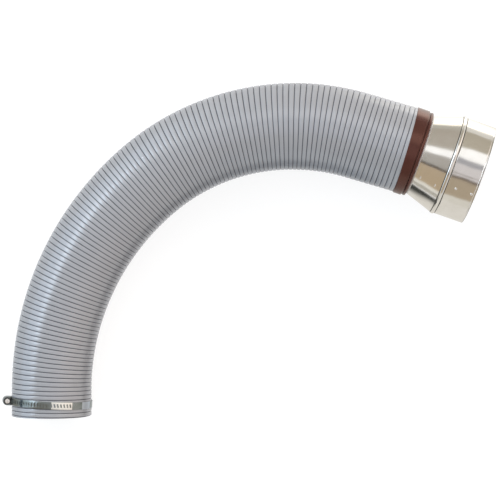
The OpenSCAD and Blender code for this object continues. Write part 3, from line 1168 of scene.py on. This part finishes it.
@dataclass
class SheetMetalReducer:
    """Cone and collar of bright sheet, locked by a rolled bead, each closed by a lapped seam."""

    seat: ReducerPlace
    spigot_r: float = 49.7 * MM
    neck_r: float = 50.4 * MM
    # Heights where the spigot ends and the cone starts outside, and where they meet inside.
    neck_foot: float = -0.2 * MM
    neck_top: float = 0.3 * MM
    neck_inside: float = 0.5 * MM
    collar_r: float = 62.5 * MM
    sheet_t: float = 0.8 * MM
    cut_round: float = 0.2 * MM
    neck_round: float = 0.5 * MM
    bend_round: float = 1.0 * MM
    spigot_reach: float = 24 * MM
    cone_len: float = 36 * MM
    tuck_len: float = 3 * MM
    tuck_gap: float = 0.05 * MM
    collar_len: float = 42 * MM
    bead_h: float = 1.2 * MM
    bead_at: float = 2.6 * MM
    bead_half: float = 2.7 * MM
    bead_steps: int = 12
    valley: float = 0.6 * MM
    valley_w: float = 0.9 * MM
    hem: float = 2.0 * MM
    hem_step: float = 0.18 * MM
    hem_round: float = 0.3 * MM
    cone_seam: float = math.radians(-60.5)
    collar_seam: float = math.radians(-66.5)
    lap_sink: float = 0.125 * MM
    lap_turn: float = math.radians(14)
    lap_edge: float = math.radians(0.12)
    lap_fade: float = 1.5 * MM
    # Points of a weld mark's section, as shares of its radius and its height.
    weld_section: tuple[Point, ...] = (
        (0.0, -1.0), (1.0, -1.0), (1.0, -0.2), (0.85, 0.5), (0.68, 1.0), (0.52, 0.6), (0.4, 0.1),
        (0.0, 0.0))
    weld_r: float = 1.7 * MM
    weld_h: float = 0.32 * MM
    weld_steps: int = 24
    weld_behind: float = math.radians(4)
    cone_welds: tuple[float, float] = (9 * MM, 28.5 * MM)
    collar_welds: tuple[float, float] = (53 * MM, 73 * MM)
    steps: int = 256
    tinned: Clouds = Clouds(16 * MM, ("#f6f4f1", "#e6e2db"), (0.1, 0.2))
    ripple_height: float = 0.4 * MM
    # Reaches of the darker rings (painted shade in the valleys by the bead, a darker ring at the
    # rim) and of the painted highlight at the cone's foot, and the colour and roughness of each.
    valley_painted_shade: float = 0.55 * MM
    rim_darkening: float = 0.5 * MM
    dark_ring_look: tuple[str, float] = ("#6b6862", 0.4)
    foot_painted_highlight: float = 2.0 * MM
    foot: tuple[str, float] = ("#ffffff", 0.6)

    def metal(self) -> bpy.types.Material:
        """Builds the sheet's finish.

        Painted shade darkens the valleys beside the bead, a ring at the rim is darker, and a
        painted highlight brightens the cone's foot by the cuff.

        Returns:
            The finish.
        """
        middle = self.cone_len + self.bead_at
        # Painted shade in both valleys, a darker ring at the rim, and a painted highlight at the
        # cone's foot.
        rings = (
            (middle - self.bead_half, self.valley_painted_shade, self.dark_ring_look),
            (middle + self.bead_half, self.valley_painted_shade, self.dark_ring_look),
            (self.cone_len + self.collar_len, self.rim_darkening, self.dark_ring_look),
            (0.0, self.foot_painted_highlight, self.foot))
        zones = tuple(
            Zone(self.seat.place @ Vector((0, 0, z)), self.seat.axis, reach, *look, slab=True)
            for z, reach, look in rings)
        return RolledMetal(
            "bright_tinned_sheet", self.tinned, zones, ripple_height=self.ripple_height).build()

    def cone_shell(self) -> bpy.types.Object:
        """Spins the spigot, the cone and the edge that is tucked into the collar.

        Returns:
            The shell, about the Z axis.
        """
        cut, bend, end = self.cut_round, self.bend_round, -self.spigot_reach
        bore = self.spigot_r - self.sheet_t
        outer = self.collar_r - self.tuck_gap
        inner = outer - self.sheet_t
        top = self.cone_len + self.tuck_len
        corners = [
            (bore, end, cut), (self.spigot_r, end, cut), (self.spigot_r, self.neck_foot, cut),
            (self.neck_r, self.neck_top, self.neck_round), (outer, self.cone_len, bend),
            (outer, top, cut), (inner, top, cut), (inner, self.cone_len, bend),
            (bore, self.neck_inside, bend)]
        return spin_closed("reducer_cone_skin", rounded(corners, steps=3), self.steps)

    def collar_shell(self) -> bpy.types.Object:
        """Spins the collar, with the bead that locks it and the hem at its mouth.

        Returns:
            The shell, about the Z axis.
        """
        r, low, soft = self.collar_r, self.cone_len + self.tuck_len, self.hem_round
        mouth = self.cone_len + self.collar_len
        middle = self.cone_len + self.bead_at
        hem = mouth - self.hem
        bead = [
            (r + self.bead_h * math.sin(a) - self.valley * (1 - math.sin(a)),
             middle - self.bead_half * math.cos(a))
            for a in (math.pi * k / self.bead_steps for k in range(self.bead_steps + 1))]
        profile = [
            (r, low), *bead, (r, middle + self.bead_half + self.valley_w), (r, hem - soft),
            (r - self.hem_step, hem), (r, hem + soft), (r, mouth - soft), (r - soft, mouth),
            (r - self.sheet_t, mouth), (r - self.sheet_t, low)]
        return spin_closed("reducer_collar_skin", profile, self.steps)

    def lap(self, piece: bpy.types.Object, seam: float, low: float, high: float) -> None:
        """Sinks the sheet behind a seam, so that it rises to its lapped edge and ends in a step.

        Args:
            piece: Shell about the Z axis.
            seam: Angle of the seam round the axis.
            low: Height at which the lap starts.
            high: Height at which it ends.
        """
        pick(piece)
        bpy.ops.object.mode_set(mode="EDIT")
        for turn in (seam - self.lap_edge, seam + self.lap_edge):
            bpy.ops.mesh.select_all(action="SELECT")
            bpy.ops.mesh.bisect(
                plane_co=(0, 0, 0), plane_no=(-math.sin(turn), math.cos(turn), 0), threshold=WELD)
        bpy.ops.object.mode_set(mode="OBJECT")
        fade = self.lap_fade
        for vertex in piece.data.vertices:
            around = math.atan2(vertex.co.y, vertex.co.x)
            off = (around - seam + math.pi) % math.tau - math.pi
            if off > 0:
                rise = max(0.0, 1 - off / self.lap_edge)
            else:
                rise = ease((off + self.lap_turn) / self.lap_turn)
            rise *= ease((vertex.co.z - low) / fade) * ease((high - vertex.co.z) / fade)
            if rise > 0:
                radius = math.hypot(vertex.co.x, vertex.co.y)
                vertex.co.xy *= 1 + (rise - 1) * self.lap_sink / radius

    def weld(self, seam: float, height: float, radius: float, lean: float) -> bpy.types.Object:
        """Models one spot-weld mark: a shallow pit inside a soft raised ring.

        Args:
            seam: Angle of the seam behind which it lies.
            height: Its height along the axis.
            radius: Radius of the sheet there.
            lean: Angle of the sheet from the axis.

        Returns:
            The mark, seated on the sheet.
        """
        section = [(self.weld_r * x, self.weld_h * z) for x, z in self.weld_section]
        mark = spin_closed("weld_mark", section, self.weld_steps)
        put(mark, Matrix.Rotation(seam + self.weld_behind, 4, "Z")
            @ Matrix.Translation((radius, 0, height))
            @ Matrix.Rotation(math.pi / 2 - lean, 4, "Y"))
        return mark

    def build(self) -> None:
        """Builds, seams and dresses the cone and the collar."""
        metal = self.metal()
        cone, collar = self.cone_shell(), self.collar_shell()
        self.lap(cone, self.cone_seam, self.lap_fade, self.cone_len + 2 * self.tuck_len)
        self.lap(collar, self.collar_seam, self.cone_len + 2 * self.bead_at, math.inf)
        slope = math.atan2(self.collar_r - self.neck_r, self.cone_len)
        cone = join([cone, *(
            self.weld(self.cone_seam, z, self.neck_r + z * math.tan(slope), slope)
            for z in self.cone_welds)])
        collar = join([collar, *(
            self.weld(self.collar_seam, z, self.collar_r, 0) for z in self.collar_welds)])
        for piece, node in ((cone, "adapter_cone"), (collar, "adapter_collar")):
            put(piece, self.seat.place)
            shade(piece)
            dress(piece, metal)
            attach(piece, "reducer_end")
            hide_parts(node)
            report(piece, "reducer_end")


# ---- Studio ----


# Start of one band across the reducer in degrees, with its colour and its strength.
Band = tuple[float, str, float]


@dataclass(frozen=True)
class SoftDome:
    """Light round the duct by direction: cool on one side, warm and lower on the other.

    A soft ring of lamps hangs on the bright side. For glossy rays, long boxes, cards and flags lie
    side by side across the reducer's axis, one row for the collar and one for the cone, which
    looks further back. A pair of numbers is a share of the direction that lies along an axis,
    where a soft change starts and ends.
    """

    across: Vector
    along: Vector
    dim_side: Vector = Vector((0.35, -0.94, 0))
    warm_side: Vector = Vector((0.95, 0.3, 0))
    sides: tuple[float, float] = (-0.8, 0.8)
    cool: str = "#e2f1ff"
    warm: str = "#fff3ea"
    bright_light: float = 1.45
    dim_light: float = 0.78
    ring_light: float = 4.6
    ring_from: float = math.radians(46)
    ring_to: float = math.radians(57)
    ring_soft: tuple[float, float] = (0.06, 0.1)
    ring_faces: tuple[float, float] = (-0.1, -0.5)
    rows_meet: tuple[float, float] = (-0.4, -0.15)
    rows_start: tuple[float, float] = (-0.72, -0.64)
    rows_end: tuple[float, float] = (0.3, 0.5)
    edge: float = 2.0
    collar_row: tuple[Band, ...] = (
        (-180, "#ffffff", 1.0), (-92, "#beb6a6", 0.9), (-46, "#ffffff", 1.15),
        (-20, "#a9a9ae", 1.0), (-7, "#d9d5d6", 1.0), (20, "#6b5f54", 0.95),
        (26, "#b0a28d", 1.0), (72, "#e2dfd6", 0.95))
    cone_row: tuple[Band, ...] = (
        (-180, "#ffffff", 1.0), (-112, "#b2aba0", 1.0), (-32, "#ffffff", 1.12),
        (-13, "#aba69f", 1.0), (19, "#5c5148", 0.85), (27, "#b8a68c", 1.0),
        (78, "#eceae2", 1.0), (89, "#50524f", 1.0), (108, "#d6d3d4", 1.0))

    def row(self, tree: Tree, angle: Socket, bands: Sequence[Band]) -> Socket:
        """Turns an angle into the colour of one row of boxes, cards and flags.

        Args:
            tree: The world's node tree.
            angle: Angle across the axis, from 0 at -180 degrees to 1 at 180.
            bands: The row.

        Returns:
            The colour.
        """
        ends = [band[0] for band in bands[1:]] + [180.0]
        half = self.edge / 2
        ramp = add_node(tree, "ShaderNodeValToRGB", {}, {"Fac": angle})
        set_stops(ramp, [
            ((at + 180) / 360, colour, strength)
            for (start, colour, strength), end in zip(bands, ends)
            for at in (start + half, end - half)])
        return ramp.outputs["Color"]

    def build(self) -> bpy.types.World:
        """Returns the finished world."""
        world = bpy.data.worlds.new("soft_dome")
        world.use_nodes = True
        tree = world.node_tree
        tree.nodes.clear()
        way = add_value(tree, "ShaderNodeTexCoord", "Generated")
        up, dim_way, warm_way, side, depth = (
            add_value(tree, "ShaderNodeVectorMath", "Value", DOT, {0: way, 1: axis})
            for axis in (Vector((0, 0, 1)), self.dim_side, self.warm_side, self.across, self.along))
        top, foot = math.cos(self.ring_from), math.cos(self.ring_to)
        top_soft, foot_soft = self.ring_soft
        warmth, level, below_top, above_foot, facing, to_cone, before_end, past_start = (
            add_value(tree, "ShaderNodeMapRange", "Result", SMOOTH, {
                "Value": value, "From Min": low, "From Max": high, "To Min": start, "To Max": end})
            for value, (low, high), start, end in (
                (warm_way, self.sides, 0, 1),
                (dim_way, self.sides, self.bright_light, self.dim_light),
                (up, (top - top_soft, top + top_soft), 1, 0),
                (up, (foot - foot_soft, foot + foot_soft), 0, 1),
                (dim_way, self.ring_faces, 0, self.ring_light),
                (depth, self.rows_meet, 1, 0),
                (depth, self.rows_end, 1, 0),
                (depth, self.rows_start, 0, 1)))
        rays = add_node(tree, "ShaderNodeLightPath")
        ring, held = (
            add_value(tree, "ShaderNodeMath", "Value", {"operation": "MULTIPLY"}, {
                0: add_value(tree, "ShaderNodeMath", "Value", {"operation": "MULTIPLY"}, {
                    0: first, 1: second}), 1: third})
            for first, second, third in (
                (below_top, above_foot, facing),
                (before_end, past_start, rays.outputs["Is Glossy Ray"])))
        strength = add_value(tree, "ShaderNodeMath", "Value", {"operation": "ADD"}, {
            0: level, 1: ring})
        tint = add_value(tree, "ShaderNodeMix", 2, RGBA, {
            0: warmth, 6: linear(self.cool), 7: linear(self.warm)})
        general = add_value(tree, "ShaderNodeVectorMath", "Vector", {"operation": "SCALE"}, {
            0: tint, "Scale": strength})

        turned = add_value(tree, "ShaderNodeMath", "Value", {"operation": "ARCTAN2"}, {
            0: side, 1: up})
        angle = add_value(tree, "ShaderNodeMath", "Value", {"operation": "MULTIPLY_ADD"}, {
            0: turned, 1: 1 / math.tau, 2: 0.5})
        rows = add_value(tree, "ShaderNodeMix", 2, RGBA, {
            0: to_cone, 6: self.row(tree, angle, self.collar_row),
            7: self.row(tree, angle, self.cone_row)})
        light = add_value(tree, "ShaderNodeMix", 2, RGBA, {0: held, 6: general, 7: rows})
        shown = add_value(tree, "ShaderNodeMix", 2, RGBA, {
            0: rays.outputs["Is Camera Ray"], 6: light, 7: linear("#ffffff")})
        lamp = add_value(tree, "ShaderNodeBackground", 0, {}, {"Color": shown})
        add_node(tree, "ShaderNodeOutputWorld", {}, {"Surface": lamp})
        return world


@dataclass
class Studio:
    """White paper floor, a soft dome of light and the camera straight above."""

    seat: ReducerPlace
    camera_at: tuple[float, float, float] = (2.1 * MM, -0.7 * MM, 2182 * MM)
    view_angle: float = math.radians(16.73)
    sight: float = 100.0
    floor_size: float = 14.0

    def floor(self) -> None:
        """Lays the floor at the height that the duct rests on."""
        clear_selection()
        bpy.ops.mesh.primitive_plane_add(size=self.floor_size)
        sheet = bpy.context.object
        sheet.name = "studio_floor"
        paper = StudioFloor("white_paper_floor", self.seat.axis)
        sheet.data.materials.append(paper.build())

    def camera(self) -> None:
        """Sets the camera over the duct, looking straight down with +Y at the top."""
        data = bpy.data.cameras.new("camera")
        data.lens = data.sensor_width / 2 / math.tan(self.view_angle / 2)
        data.clip_end = self.sight
        eye = bpy.data.objects.new("camera", data)
        eye.location = self.camera_at
        bpy.context.scene.collection.objects.link(eye)
        bpy.context.scene.camera = eye

    def build(self) -> None:
        """Sets up the floor, the light and the camera."""
        bpy.context.scene.view_settings.view_transform = "Standard"
        self.camera()
        self.floor()
        across = self.seat.place.to_3x3() @ Vector((1, 0, 0))
        bpy.context.scene.world = SoftDome(across, self.seat.axis).build()


def main() -> None:
    """Builds the duct from its open end to its collar, then the studio round it."""
    route = Route()
    seat = ReducerPlace(route)
    StripWoundHose(route).build()
    WormClamp(route).build()
    RubberCuff(seat).build()
    SheetMetalReducer(seat).build()
    Studio(seat).build()


if __name__ == "__main__":
    main()
